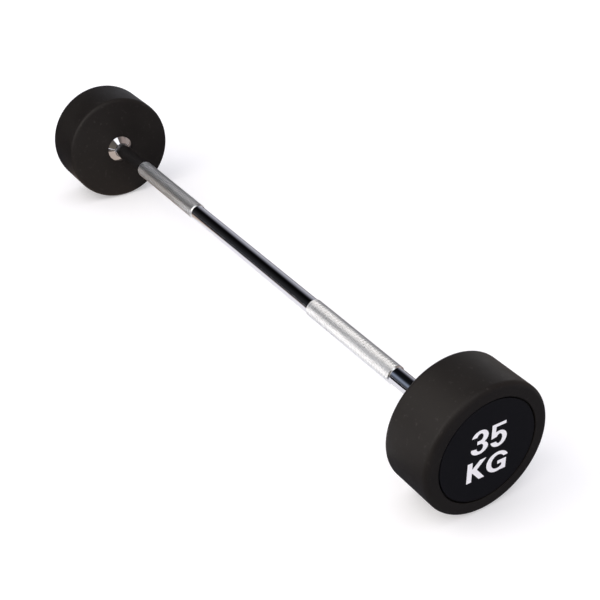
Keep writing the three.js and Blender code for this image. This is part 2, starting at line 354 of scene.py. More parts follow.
def tent_painted_reflection(name, greys, strength):
    """A painted reflection: a glow whose grey runs from the floor behind the bar, overhead, to the floor
    in front.
    """
    material, tree = blank_material(name)
    place = add(tree, "ShaderNodeTexCoord")
    axes = add(tree, "ShaderNodeSeparateXYZ", {0: place.outputs["Object"]})
    rise = add(tree, "ShaderNodeMath", {0: axes.outputs["Z"], 1: axis_height * MM}, operation="SUBTRACT")
    turn = add(tree, "ShaderNodeMath", {0: rise, 1: axes.outputs["Y"]}, operation="ARCTAN2")
    share = add(tree, "ShaderNodeMapRange", {"Value": turn, "From Min": math.radians(TENT_START),
                                             "From Max": math.radians(TENT_END)})
    ramp = add(tree, "ShaderNodeValToRGB", {"Fac": share})
    stops = ramp.color_ramp.elements
    for number, (degrees, grey) in enumerate(greys):
        position = (degrees - TENT_START) / (TENT_END - TENT_START)
        stop = stops[number] if number < len(stops) else stops.new(position)
        stop.position = position
        stop.color = colour(grey)
    glow = add(tree, "ShaderNodeEmission", {"Color": ramp.outputs["Color"], "Strength": strength})
    add(tree, "ShaderNodeOutputMaterial", {"Surface": glow})
    return material


def tent(name, start, end, greys, strength):
    """Half a cylinder along the bar, closed at its outer end, with one painted reflection."""
    points, faces = [], []
    for step in range(TENT_STEPS + 1):
        angle = math.radians(TENT_START + (TENT_END - TENT_START) * step / TENT_STEPS)
        y, z = TENT_RADIUS * math.cos(angle), TENT_RADIUS * math.sin(angle) + axis_height * MM
        points += [(start, y, z), (end, y, z)]
        if step:
            first = 2 * step - 2
            faces.append((first, first + 1, first + 3, first + 2))
    if abs(start) == TENT_REACH:
        faces.append(tuple(range(0, len(points), 2)))
    if abs(end) == TENT_REACH:
        faces.append(tuple(range(1, len(points), 2)))
    for_mirrors_only(sheet(name, points, faces, tent_painted_reflection(f"{name}_painted_reflection", greys, strength)))


stretch_start = -TENT_REACH
for name, stretch_end, strength, greys in TENT_PAINTED_REFLECTIONS:
    tent(name, stretch_start, stretch_end, greys, strength)
    stretch_start = stretch_end
print("tent of", TENT_RADIUS, "m radius in", len(TENT_PAINTED_REFLECTIONS), "stretches")

# %% [markdown]
# The floor that the bar mirrors is covered with sheets in the greys of cloth too, all but a strip of
# white paper along the bar. Like the tent they glow instead of being lit, and only mirrors see them,
# so what the steel shows of them is a painted reflection. The grey sheets past both ends of the strip
# stand partly for the shadow of the heads on the floor: a painted shadow. The edges of the strip
# draw the bright lines on the underside of the steel. Its right front corner is cut at a slant, and
# a narrow tongue of white runs forward from it, which the near neck shows as a short bright line.
# The cloths are cool greys, but the far collar ring is warm below and at the back. So three warm
# greys lie round the far head, two of them on top of the other cloths.

# %% Floor cloths that only mirrors see
CLOTH_LIFT = 1.0 * MM
PAPER_LEFT, PAPER_RIGHT = -0.6, 0.42
PAPER_FRONT, PAPER_BACK = -0.205, 0.03
PAPER_CORNER, PAPER_SLANT, PAPER_TONGUE = 0.24, 0.60, 0.33
SHADE_RIGHT, SHADE_BACK = -0.30, 0.35
WARM_LEFT, WARM_RIGHT, WARM_FRONT = -0.7, 0.6, -0.42
# The left and right greys are partly a painted shadow of the heads on the floor.
FRONT_GREY, LEFT_GREY_AND_PAINTED_SHADOW, RIGHT_GREY_AND_PAINTED_SHADOW = 0x1C1C1E, 0x50505A, 0x6C6C74
BACK_GREY, FAR_BACK_GREY = 0x38383C, 0xB0B0B8
WARM_BY_HEAD, WARM_BEHIND, WARM_IN_FRONT = 0xD8C6B8, 0x94867F, 0x8A8078


def glow_material(name, hex_value):
    """A plain colour that needs no light, for a sheet that is only mirrored."""
    material, tree = blank_material(name)
    glow = add(tree, "ShaderNodeEmission", {"Color": colour(hex_value)})
    add(tree, "ShaderNodeOutputMaterial", {"Surface": glow})
    return material


def cloth(name, hex_value, corners, layer=1):
    """A flat sheet just above the floor, or above the first layer of sheets, for mirrors only."""
    points = [(x, y, layer * CLOTH_LIFT) for x, y in corners]
    for_mirrors_only(sheet(name, points, [tuple(range(len(points)))], glow_material(name, hex_value)))


def oblong(left, right, front, back):
    """The four corners of a level oblong."""
    return [(left, front), (right, front), (right, back), (left, back)]


edge = TENT_REACH
slanted = PAPER_CORNER - PAPER_SLANT * (TENT_RADIUS + PAPER_FRONT)
cloth("front_left_cloth", FRONT_GREY, [(-edge, -TENT_RADIUS), (slanted, -TENT_RADIUS),
                                       (PAPER_CORNER, PAPER_FRONT), (-edge, PAPER_FRONT)])
cloth("front_right_cloth", FRONT_GREY, oblong(PAPER_TONGUE, edge, -TENT_RADIUS, PAPER_FRONT))
# Past the left end of the paper: partly a painted shadow of the far head.
cloth("left_cloth", LEFT_GREY_AND_PAINTED_SHADOW, oblong(-edge, PAPER_LEFT, PAPER_FRONT, PAPER_BACK))
cloth("warm_cloth_by_head", WARM_BY_HEAD, oblong(PAPER_LEFT, SHADE_RIGHT, PAPER_FRONT, PAPER_BACK))
# Under and past the near head: partly its painted shadow.
cloth("right_cloth", RIGHT_GREY_AND_PAINTED_SHADOW, oblong(PAPER_RIGHT, edge, PAPER_FRONT, SHADE_BACK))
cloth("back_cloth", BACK_GREY, oblong(-edge, PAPER_RIGHT, PAPER_BACK, SHADE_BACK))
cloth("far_back_cloth", FAR_BACK_GREY, oblong(-edge, edge, SHADE_BACK, TENT_RADIUS))
cloth("warm_back_cloth", WARM_BEHIND, oblong(WARM_LEFT, WARM_RIGHT, SHADE_BACK, TENT_RADIUS), layer=2)
cloth("warm_front_cloth", WARM_IN_FRONT, oblong(SHADE_RIGHT, 0, WARM_FRONT, PAPER_FRONT), layer=2)
print("strip of white paper from", PAPER_LEFT, "to", PAPER_RIGHT, "m along the bar")

# %% [markdown]
# The finishes come before the shapes, because each node tree for a shape ends by setting one. Each
# finish ends in a fine relief and one Principled shader. What varies over a surface comes from noise
# in object coordinates. They are counted in grains, so each grain has a size in millimetres. A grain
# that is too fine to show is drawn coarser, and a comment gives its real size.

# %% What the finishes share
BUMP_STRENGTH = 0.5


def grain_space(tree, along_mm, across_mm=None):
    """Object coordinates counted in grains, which are as long as they are wide or have two sizes."""
    place = add(tree, "ShaderNodeTexCoord")
    along, across = 1 / (along_mm * MM), 1 / ((across_mm or along_mm) * MM)
    return add(tree, "ShaderNodeMapping", {"Vector": place.outputs["Object"],
                                           "Scale": (along, across, across)})


def end_finish(tree, relief, depth_mm, values):
    """Ends a finish: its relief, its shader with a value or a link for the rest, and the output."""
    bump = add(tree, "ShaderNodeBump", {"Height": relief, "Strength": BUMP_STRENGTH,
                                        "Distance": depth_mm * MM})
    shader = add(tree, "ShaderNodeBsdfPrincipled", {**values, "Normal": bump})
    add(tree, "ShaderNodeOutputMaterial", {"Surface": shader})


print("every relief has strength", BUMP_STRENGTH, "and its own depth in millimetres")

# %% [markdown]
# Hard chrome is electroplated onto ground steel: a metal mirror, a little blue, with a roughness
# near zero. What makes it look real is that it is never quite even. The bar was ground between
# centres, so very fine rings run round it, and handling leaves a slight haze in patches. The knurl
# spreads the light far more, because each small flank is torn by the wheels. Its plate is drawn
# paler than the smooth chrome, a painted highlight that makes the grips read whiter, and the
# bottom of each groove is drawn a darker grey. Two attributes from the knurl's tree tell how deep
# in a groove a point lies, and whether the wheels touched it at all.

# %% Chrome finish
CHROME_COLOUR = 0xD0D1D6
CHROME_ROUGHNESS = (0.03, 0.08)
HAZE_PATCH_MM = 35.0
HAZE_EDGES = (0.35, 0.75)
GRINDING_RINGS_MM = 0.5   # real ones are near 0.05 mm and would not show
RING_STRETCH_MM = 125.0
GRINDING_DEPTH_MM = 0.002
# Paler than the smooth plate: a painted highlight on the knurled stretches.
KNURL_PAINTED_HIGHLIGHT = 0xE2E4E8
KNURL_ROUGHER = 0.26
# A darker grey, drawn only at the bottom of each groove.
GROOVE_BOTTOM_GREY = 0xBEBEC0
GROOVE_BOTTOM_POWER = 4.0          # keeps the darker grey to the bottom of a groove


def hard_chrome():
    """Chrome plate over ground steel: mirror, faint rings round the bar, and haze from handling."""
    material, tree = blank_material("hard_chrome_plate")
    groove = add(tree, "ShaderNodeAttribute", attribute_name="groove")
    knurled = add(tree, "ShaderNodeAttribute", attribute_name="knurled")
    # Where the wheels touched, the plate is paler, a painted highlight; deep in a groove it turns a darker
    # grey.
    plate = add(tree, "ShaderNodeMix", {0: knurled.outputs["Fac"], TONE_A: colour(CHROME_COLOUR),
                                        TONE_B: colour(KNURL_PAINTED_HIGHLIGHT)}, data_type="RGBA")
    deep = add(tree, "ShaderNodeMath", {0: groove.outputs["Fac"], 1: GROOVE_BOTTOM_POWER}, operation="POWER")
    darker_bottoms = add(tree, "ShaderNodeMix", {0: deep, TONE_A: plate.outputs[TONE_MIXED],
                                       TONE_B: colour(GROOVE_BOTTOM_GREY)}, data_type="RGBA")
    haze = add(tree, "ShaderNodeTexNoise", {"Vector": grain_space(tree, HAZE_PATCH_MM), "Scale": 1.0,
                                            "Detail": BROAD_DETAIL})
    clean = add(tree, "ShaderNodeMapRange", {
        "Value": haze, "From Min": HAZE_EDGES[0], "From Max": HAZE_EDGES[1],
        "To Min": CHROME_ROUGHNESS[0], "To Max": CHROME_ROUGHNESS[1]})
    dull = add(tree, "ShaderNodeMath", {0: knurled.outputs["Fac"], 1: KNURL_ROUGHER, 2: clean},
               operation="MULTIPLY_ADD")
    rings = add(tree, "ShaderNodeTexNoise", {
        "Vector": grain_space(tree, GRINDING_RINGS_MM, RING_STRETCH_MM), "Scale": 1.0,
        "Detail": FINE_DETAIL})
    end_finish(tree, rings, GRINDING_DEPTH_MM, {
        "Metallic": 1.0, "Base Color": darker_bottoms.outputs[TONE_MIXED], "Roughness": dull})
    return material


chrome = hard_chrome()
print("made", chrome.name)

# %% [markdown]
# The jacket is natural and styrene-butadiene rubber, moulded hot under pressure. Rubber like this is
# black from carbon, slightly brown, and satin: the mould's blasted steel leaves a fine pebble on
# it. Handling polishes it a little in cloudy patches, and leaves small scuffs of pale dust.

# %% Rubber finish
RUBBER_DARK = 0x171413
RUBBER_LIGHT = 0x211E1C
RUBBER_DUST = 0x4A4644
RUBBER_ROUGHNESS = (0.46, 0.58)
RUBBER_GLOSS = {"IOR": 1.52, "Specular IOR Level": 0.2}
CLOUD_MM = 45.0
CLOUD_EDGES = (0.3, 0.7)
SCUFF_MM = 6.0
SCUFF_EDGES = (0.62, 0.8)
DUST_SHARE = 0.35
PEBBLE_MM = 0.9     # the real pebble is near 0.2 mm
PEBBLE_DEPTH_MM = 0.035


def moulded_rubber():
    """Satin black rubber with a fine pebble, cloudy tone and a little dust."""
    material, tree = blank_material("moulded_satin_rubber")
    clouds = add(tree, "ShaderNodeTexNoise", {"Vector": grain_space(tree, CLOUD_MM), "Scale": 1.0,
                                              "Detail": BROAD_DETAIL})
    tone = add(tree, "ShaderNodeMix", {0: clouds, TONE_A: colour(RUBBER_DARK),
                                       TONE_B: colour(RUBBER_LIGHT)}, data_type="RGBA")
    scuffs = add(tree, "ShaderNodeTexNoise", {"Vector": grain_space(tree, SCUFF_MM), "Scale": 1.0,
                                              "Detail": BROAD_DETAIL})
    dust = add(tree, "ShaderNodeMapRange", {
        "Value": scuffs, "From Min": SCUFF_EDGES[0], "From Max": SCUFF_EDGES[1],
        "To Min": 0.0, "To Max": DUST_SHARE})
    dusty = add(tree, "ShaderNodeMix", {0: dust, TONE_A: tone.outputs[TONE_MIXED],
                                        TONE_B: colour(RUBBER_DUST)}, data_type="RGBA")
    sheen = add(tree, "ShaderNodeMapRange", {
        "Value": clouds, "From Min": CLOUD_EDGES[0], "From Max": CLOUD_EDGES[1],
        "To Min": RUBBER_ROUGHNESS[0], "To Max": RUBBER_ROUGHNESS[1]})
    pebbles = add(tree, "ShaderNodeTexNoise", {"Vector": grain_space(tree, PEBBLE_MM), "Scale": 1.0,
                                               "Detail": FINE_DETAIL})
    end_finish(tree, pebbles, PEBBLE_DEPTH_MM, {
        **RUBBER_GLOSS, "Base Color": dusty.outputs[TONE_MIXED], "Roughness": sheen})
    return material


rubber = moulded_rubber()
print("made", rubber.name)

# %% [markdown]
# The cap is a polypropylene moulding with a spark-eroded matt face, black with a breath of blue.
# The weight mark on it is a thick white epoxy print, so it is a hair raised and slightly satin.

# %% Cap plastic and mark paint
CAP_COLOURS = (0x0F0F14, 0x131318)
CAP_GRAIN_MM = 0.6    # the real grain is near 0.15 mm
CAP_GRAIN_DEPTH_MM = 0.03
CAP_ROUGHNESS = 0.55
CAP_GLOSS = {"IOR": 1.49, "Specular IOR Level": 0.15}
MARK_COLOURS = (0xFAF9FC, 0xF0EFF3)
MARK_GRAIN_MM = 0.8
MARK_GRAIN_DEPTH_MM = 0.01
MARK_ROUGHNESS = 0.4
MARK_GLOSS = {"IOR": 1.55, "Specular IOR Level": 0.4}
BROAD_PATCH_GRAINS = 40
UNEVEN = 0.05


def grained(name, colours, grain_mm, depth_mm, roughness, gloss):
    """A plain moulded or printed surface: two close tones and a fine grain in the relief."""
    material, tree = blank_material(name)
    grain = add(tree, "ShaderNodeTexNoise", {"Vector": grain_space(tree, grain_mm), "Scale": 1.0,
                                             "Detail": FINE_DETAIL})
    patches = grain_space(tree, grain_mm * BROAD_PATCH_GRAINS)
    broad = add(tree, "ShaderNodeTexNoise", {"Vector": patches, "Scale": 1.0, "Detail": BROAD_DETAIL})
    tone = add(tree, "ShaderNodeMix", {0: broad, TONE_A: colour(colours[0]),
                                       TONE_B: colour(colours[1])}, data_type="RGBA")
    rough = add(tree, "ShaderNodeMapRange", {
        "Value": broad, "From Min": CLOUD_EDGES[0], "From Max": CLOUD_EDGES[1],
        "To Min": roughness - UNEVEN, "To Max": roughness + UNEVEN})
    end_finish(tree, grain, depth_mm, {
        **gloss, "Base Color": tone.outputs[TONE_MIXED], "Roughness": rough})
    return material


cap_plastic = grained("spark_eroded_polypropylene", CAP_COLOURS, CAP_GRAIN_MM, CAP_GRAIN_DEPTH_MM,
                      CAP_ROUGHNESS, CAP_GLOSS)
mark_paint = grained("white_epoxy_print", MARK_COLOURS, MARK_GRAIN_MM, MARK_GRAIN_DEPTH_MM,
                     MARK_ROUGHNESS, MARK_GLOSS)
print("made", cap_plastic.name, "and", mark_paint.name)

# %% [markdown]
# Inside the heads nothing shows, but the pieces are real ones and get their own finishes: the
# cores are turned steel with the rings of a coarse cut, the sleeves, pins and washers are
# machined finer, and the end bolts are black-oxided.

# %% Hidden steel finishes
CUT_STRETCH_MM = 50.0
CUT_UNEVEN = 0.08
# For each slot: the finish, its two tones, the mm between tool rings, their depth, and the roughness.
HIDDEN_STEELS = {
    "core_steel": ("turned_steel", (0x77797C, 0x9A9C9F), 0.8, 0.05, 0.45),
    "machined_steel": ("machined_steel", (0x96989B, 0xB4B6B9), 0.3, 0.02, 0.32),
    "black_steel": ("black_oxide_steel", (0x1D1E20, 0x303134), 0.4, 0.02, 0.42),
}


def worked_steel(name, colours, cut_mm, depth_mm, roughness):
    """Steel with tool rings round the bar's axis, cut_mm apart along it."""
    material, tree = blank_material(name)
    rings = add(tree, "ShaderNodeTexNoise", {"Vector": grain_space(tree, cut_mm, CUT_STRETCH_MM),
                                             "Scale": 1.0, "Detail": FINE_DETAIL})
    tone = add(tree, "ShaderNodeMix", {0: rings, TONE_A: colour(colours[0]),
                                       TONE_B: colour(colours[1])}, data_type="RGBA")
    rough = add(tree, "ShaderNodeMapRange", {"Value": rings, "To Min": roughness - CUT_UNEVEN,
                                             "To Max": roughness + CUT_UNEVEN})
    end_finish(tree, rings, depth_mm, {
        "Metallic": 1.0, "Base Color": tone.outputs[TONE_MIXED], "Roughness": rough})
    return material


hidden_finishes = {slot: worked_steel(*values) for slot, values in HIDDEN_STEELS.items()}
slot_of = {}
for subpart in frame["record"]["subparts"]:
    slot_of[subpart["node"]] = subpart["material_slot"]
for node, thing in frame["nodes"].items():
    if slot_of[node] in hidden_finishes:
        thing.data.materials.clear()
        thing.data.materials.append(hidden_finishes[slot_of[node]])
print("finished", sum(slot in hidden_finishes for slot in slot_of.values()), "hidden CAD nodes")

# %% [markdown]
# Everything that shows on this object, all but the weight mark, was turned or moulded round one
# axis. So its shape is a profile swept round the bar: points along X with a radius. Corners of real
# turned parts are never razor sharp, so a helper first rounds each corner by a small radius.

# %% Profiles with rounded corners
DEGREES_PER_STEP = 9.0
FEWEST_STEPS = 2
SUPPORT_SHARE = 0.25
BULGE_STEPS = 12


def rounded(points):
    """(along, radius, rounding) points in mm to a finer outline, each corner rounded as asked.

    A row just outside each rounding keeps the long faces beside it flat in their shading.
    """
    outline = []
    for number, (along, out, rounding) in enumerate(points):
        here = Vector((along, out))
        if not rounding or number in (0, len(points) - 1):
            outline.append(here)
            continue
        back = (Vector(points[number - 1][:2]) - here).normalized()
        ahead = (Vector(points[number + 1][:2]) - here).normalized()
        half_angle = back.angle(ahead) / 2
        reach = rounding / math.tan(half_angle)
        centre = here + (back + ahead).normalized() * (rounding / math.sin(half_angle))
        start = (here + back * reach - centre).normalized()
        end = (here + ahead * reach - centre).normalized()
        steps = max(FEWEST_STEPS, round(math.degrees(start.angle(end)) / DEGREES_PER_STEP))
        support = reach + rounding * SUPPORT_SHARE
        outline.append(here + back * support)
        outline += [centre + start.slerp(end, step / steps) * rounding for step in range(steps + 1)]
        outline.append(here + ahead * support)
    return outline


def bulged(start, end, bulge):
    """Points from start to end on a parabola that bows out by a bulge in mm at its middle."""
    run = Vector(end) - Vector(start)
    out = Vector((-run.y, run.x)).normalized() * bulge
    points = []
    for step in range(BULGE_STEPS + 1):
        share = step / BULGE_STEPS
        rise = 4 * share * (1 - share)   # 0 at both ends and 1 at the middle
        points.append((*(Vector(start) + run * share + out * rise), 0))
    return points


def turned_about_upright(outline):
    """The same outline for the left head: half a turn about Z, with its direction kept."""
    return [Vector((-point.x, point.y)) for point in reversed(outline)]


print("corner rounding makes one step every", DEGREES_PER_STEP, "degrees")

# %% [markdown]
# A lathe in Geometry Nodes sweeps the profile, and one tree serves every piece. It lays out a grid
# with one row for each point of the profile, and moves each grid point to its profile point, turned
# by its share of the circle. The seam and the points on the axis are merged. Edges that bend only a
# little are shaded smooth, and the others stay crisp.

# %% The lathe tree
SHARP_ABOVE = math.radians(32)
MERGE_DISTANCE_MM = 0.002


def new_tree(name, sockets):
    """A Geometry Nodes tree with named inputs and one output, and the sockets that give the inputs."""
    tree = bpy.data.node_groups.new(name, "GeometryNodeTree")
    tree.interface.new_socket("Geometry", in_out="OUTPUT", socket_type="NodeSocketGeometry")
    for socket, kind in sockets:
        tree.interface.new_socket(socket, in_out="INPUT", socket_type=kind)
    return tree, add(tree, "NodeGroupInput").outputs


def end_tree(tree, geometry, material):
    """Realizes instances, sets the finish and ends the tree."""
    real = add(tree, "GeometryNodeRealizeInstances", {0: geometry})
    done = add(tree, "GeometryNodeSetMaterial", {"Geometry": real, "Material": material})
    add(tree, "NodeGroupOutput", {0: done})


def lathe_tree():
    """Sweeps a profile, drawn as a line of points in the XZ plane, round the bar's axis."""
    tree, given = new_tree("lathe", [
        ("Profile", "NodeSocketGeometry"), ("Segments", "NodeSocketInt"),
        ("Axis Height", "NodeSocketFloat"), ("Sharp Above", "NodeSocketFloat"),
        ("Material", "NodeSocketMaterial")])
    rows = add(tree, "GeometryNodeAttributeDomainSize", {0: given["Profile"]})
    columns = add(tree, "FunctionNodeIntegerMath", {0: given["Segments"], 1: 1}, operation="ADD")
    grid = add(tree, "GeometryNodeMeshGrid", {"Vertices X": rows.outputs["Point Count"],
                                              "Vertices Y": columns})
    index = add(tree, "GeometryNodeInputIndex")
    row = add(tree, "FunctionNodeIntegerMath", {0: index, 1: columns}, operation="DIVIDE_FLOOR")
    column = add(tree, "FunctionNodeIntegerMath", {0: index, 1: columns}, operation="MODULO")
    position = add(tree, "GeometryNodeInputPosition")
    point = add(tree, "GeometryNodeSampleIndex", {"Geometry": given["Profile"], "Index": row,
                                                  "Value": position},
                data_type="FLOAT_VECTOR", domain="POINT")
    axes = add(tree, "ShaderNodeSeparateXYZ", {0: point})

    share = add(tree, "ShaderNodeMath", {0: column, 1: given["Segments"]}, operation="DIVIDE")
    angle = add(tree, "ShaderNodeMath", {0: share, 1: math.tau}, operation="MULTIPLY")
    sine = add(tree, "ShaderNodeMath", {0: angle}, operation="SINE")
    cosine = add(tree, "ShaderNodeMath", {0: angle}, operation="COSINE")
    side = add(tree, "ShaderNodeMath", {0: axes.outputs["Z"], 1: sine}, operation="MULTIPLY")
    up = add(tree, "ShaderNodeMath", {0: axes.outputs["Z"], 1: cosine, 2: given["Axis Height"]},
             operation="MULTIPLY_ADD")
    place = add(tree, "ShaderNodeCombineXYZ", {0: axes.outputs["X"], 1: side, 2: up})
    swept = add(tree, "GeometryNodeSetPosition", {"Geometry": grid.outputs["Mesh"], "Position": place})
    closed = add(tree, "GeometryNodeMergeByDistance", {"Geometry": swept,
                                                       "Distance": MERGE_DISTANCE_MM * MM})
    bend = add(tree, "GeometryNodeInputMeshEdgeAngle")
    gentle = add(tree, "FunctionNodeCompare", {0: bend, 1: given["Sharp Above"]},
                 data_type="FLOAT", operation="LESS_THAN")
    smooth = add(tree, "GeometryNodeSetShadeSmooth", {"Geometry": closed}, domain="FACE")
    edged = add(tree, "GeometryNodeSetShadeSmooth", {"Geometry": smooth, "Shade Smooth": gentle},
                domain="EDGE")
    end_tree(tree, edged, given["Material"])
    return tree


lathe = lathe_tree()
print("lathe tree with", len(lathe.nodes), "nodes")

# %% [markdown]
# A piece starts as a bare line of points with the lathe put on it as a modifier. When nothing more
# is to be done to it, it is frozen to a plain mesh, its faces are turned outward, and any open edge
# is counted. Then it is handed to the frame, where it takes the place of its CAD node.

# %% Turning a piece
LITRES_PER_CUBIC_METRE = 1000


def profile_object(name, outline):
    """A line of points in the XZ plane, in metres, for the lathe to sweep."""
    mesh = bpy.data.meshes.new(name)
    mesh.from_pydata([(point.x * MM, 0, point.y * MM) for point in outline], [], [])
    return in_scene(name, mesh)


def add_nodes(thing, tree, values):
    """Puts a tree on an object, and sets its inputs by the identifiers of their sockets."""
    modifier = thing.modifiers.new(tree.name, "NODES")
    modifier.node_group = tree
    for item in tree.interface.items_tree:
        if item.in_out == "INPUT" and item.name in values:
            modifier[item.identifier] = values[item.name]


def freeze(thing):
    """Turns an object's modifiers into its plain mesh, with outward faces."""
    bpy.context.view_layer.update()
    graph = bpy.context.evaluated_depsgraph_get()
    mesh = bpy.data.meshes.new_from_object(thing.evaluated_get(graph))
    thing.modifiers.clear()
    thing.data = mesh
    work = bmesh.new()
    work.from_mesh(mesh)
    bmesh.ops.recalc_face_normals(work, faces=work.faces)
    work.to_mesh(mesh)
    open_edges = sum(not edge.is_manifold for edge in work.edges)
    litres = work.calc_volume() * LITRES_PER_CUBIC_METRE
    work.free()
    triangles = sum(len(face.vertices) - 2 for face in mesh.polygons)
    print(f"{thing.name}: {triangles} triangles, {litres:.3f} litres, {open_edges} open edges")
    return thing


def from_work(name, work):
    """Turns a bmesh into an object in the scene, and frees it."""
    mesh = bpy.data.meshes.new(name)
    work.to_mesh(mesh)
    work.free()
    return in_scene(name, mesh)


def turn(name, outline, segments, material):
    """A turned piece from its outline."""
    thing = profile_object(name, outline)
    add_nodes(thing, lathe, {"Segments": segments, "Axis Height": axis_height * MM,
                             "Sharp Above": SHARP_ABOVE, "Material": material})
    return thing


def keep(piece, node):
    """Hands a finished piece to the frame: its body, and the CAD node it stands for."""
    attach(piece, "root")
    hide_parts(node)


print("edges sharper than", round(math.degrees(SHARP_ABOVE)), "degrees stay crisp")

# %% [markdown]
# The grips are knurled: two hardened wheels pressed crossing helical grooves into the bar, which
# leaves rows of small pointed diamonds. A picture of bumps would do from far away, but the outline
# and the glints of a knurl come from real flanks, so it is cut into the mesh.
#
# The tree counts diamonds along the bar and round it. The sum and the difference of the two counts
# number the grooves of the two helices, and a triangle wave of each is 0 in a groove and 1/2 midway.
# The lower of the two waves is the height of the surface. Two rows and two columns for each diamond
# put a point on each peak and on each crossing. Real diamonds are about 1.5 mm long, and these are
# 2.6 mm, which keeps the bar under the limit on triangles.
#
# The wheels move on by a step at each turn of the bar, so the depth rises and falls a little along
# the grip, which shows as faint bands across it. They also run out over the chamfers at both ends
# and leave them dull.

# %% The knurl tree
KNURL_AROUND = 60
KNURL_ALONG = 78
KNURL_DEPTH = 0.42
KNURL_FEED_MM = 6.1
KNURL_FEED_SHARE = 0.25
STEPS_PER_DIAMOND = 2
WAVE_TOP = 0.5
ROW_TOLERANCE_MM = 0.01
NEARLY_ONE = 0.99
BAR_SEGMENTS = KNURL_AROUND * STEPS_PER_DIAMOND


def knurl_tree():
    """Presses a diamond knurl into the two grips of a turned bar."""
    tree, given = new_tree("diamond_knurl", [
        ("Bar", "NodeSocketGeometry"), ("Axis Height", "NodeSocketFloat"),
        ("Grip Start", "NodeSocketFloat"), ("Grip End", "NodeSocketFloat"),
        ("Diamonds Along", "NodeSocketInt"), ("Diamonds Around", "NodeSocketInt"),
        ("Depth", "NodeSocketFloat"), ("Run Out", "NodeSocketFloat"), ("Feed", "NodeSocketFloat"),
        ("Feed Share", "NodeSocketFloat"), ("Material", "NodeSocketMaterial")])
    position = add(tree, "GeometryNodeInputPosition")
    axes = add(tree, "ShaderNodeSeparateXYZ", {0: position})
    along = add(tree, "ShaderNodeMath", {0: axes.outputs["X"]}, operation="ABSOLUTE")
    rise = add(tree, "ShaderNodeMath", {0: axes.outputs["Z"], 1: given["Axis Height"]},
               operation="SUBTRACT")
    turned = add(tree, "ShaderNodeMath", {0: axes.outputs["Y"], 1: rise}, operation="ARCTAN2")

    count_along = add(tree, "ShaderNodeMapRange", {
        "Value": along, "From Min": given["Grip Start"], "From Max": given["Grip End"],
        "To Min": 0.0, "To Max": given["Diamonds Along"]})
    count_round = add(tree, "ShaderNodeMapRange", {
        "Value": turned, "From Min": 0.0, "From Max": math.tau,
        "To Min": 0.0, "To Max": given["Diamonds Around"]}, clamp=False)
    waves = []
    for operation in ("ADD", "SUBTRACT"):
        helix = add(tree, "ShaderNodeMath", {0: count_along, 1: count_round}, operation=operation)
        waves.append(add(tree, "ShaderNodeMath", {0: helix, 1: WAVE_TOP}, operation="PINGPONG"))
    lower = add(tree, "ShaderNodeMath", {0: waves[0], 1: waves[1]}, operation="MINIMUM")
    groove = add(tree, "ShaderNodeMapRange", {"Value": lower, "From Max": WAVE_TOP,
                                              "To Min": 1.0, "To Max": 0.0})

    middle = add(tree, "ShaderNodeMath", {0: given["Grip Start"], 1: given["Grip End"]}, operation="ADD")
    centre = add(tree, "ShaderNodeMath", {0: middle, 1: 1 / 2}, operation="MULTIPLY")
    length = add(tree, "ShaderNodeMath", {0: given["Grip End"], 1: given["Grip Start"]},
                 operation="SUBTRACT")
    half = add(tree, "ShaderNodeMath", {0: length, 1: 1 / 2, 2: ROW_TOLERANCE_MM * MM},
               operation="MULTIPLY_ADD")
    within = add(tree, "ShaderNodeMath", {0: along, 1: centre, 2: half}, operation="COMPARE")
    pressed = add(tree, "ShaderNodeMath", {0: groove, 1: within}, operation="MULTIPLY")
    wider = add(tree, "ShaderNodeMath", {0: half, 1: given["Run Out"]}, operation="ADD")
    touched = add(tree, "ShaderNodeMath", {0: along, 1: centre, 2: wider}, operation="COMPARE")

    out = add(tree, "ShaderNodeCombineXYZ", {1: axes.outputs["Y"], 2: rise})
    outward = add(tree, "ShaderNodeVectorMath", {0: out}, operation="NORMALIZE")
    feeds = add(tree, "ShaderNodeMath", {0: along, 1: given["Feed"]}, operation="DIVIDE")
    turns = add(tree, "ShaderNodeMath", {0: feeds, 1: math.tau}, operation="MULTIPLY")
    ripple = add(tree, "ShaderNodeMath", {0: turns}, operation="SINE")
    press = add(tree, "ShaderNodeMath", {0: ripple, 1: given["Feed Share"], 2: 1.0},
                operation="MULTIPLY_ADD")
    deep = add(tree, "ShaderNodeMath", {0: press, 1: given["Depth"]}, operation="MULTIPLY")
    drop = add(tree, "ShaderNodeMath", {0: pressed, 1: deep}, operation="MULTIPLY")
    inward = add(tree, "ShaderNodeMath", {0: drop, 1: -1.0}, operation="MULTIPLY")
    shift = add(tree, "ShaderNodeVectorMath", {0: outward, "Scale": inward}, operation="SCALE")
    marked = given["Bar"]
    for name, value in (("groove", pressed), ("knurled", touched)):
        marked = add(tree, "GeometryNodeStoreNamedAttribute", {"Geometry": marked, "Name": name,
                                                               "Value": value},
                     data_type="FLOAT", domain="POINT")
    moved = add(tree, "GeometryNodeSetPosition", {"Geometry": marked, "Offset": shift})
    knurled = add(tree, "FunctionNodeCompare", {0: within, 1: NEARLY_ONE}, data_type="FLOAT",
                  operation="GREATER_THAN")
    split = add(tree, "GeometryNodeTriangulate", {"Mesh": moved, "Selection": knurled},
                quad_method="SHORTEST_DIAGONAL")
    crisp = add(tree, "GeometryNodeSetShadeSmooth", {"Geometry": split, "Selection": knurled,
                                                     "Shade Smooth": False}, domain="FACE")
    end_tree(tree, crisp, given["Material"])
    return tree


knurl = knurl_tree()
print("knurl tree with", len(knurl.nodes), "nodes;", KNURL_AROUND, "diamonds round,", KNURL_ALONG, "along")

# %% [markdown]
# The bar is one piece of steel. Its profile runs from the left tapped hole along the outside to the
# right one: spigot, neck, grip, polished middle, grip, neck, spigot. Only the grips need many
# rows. The half holes for the drive pins are cut last, by a boolean with four round cutters.

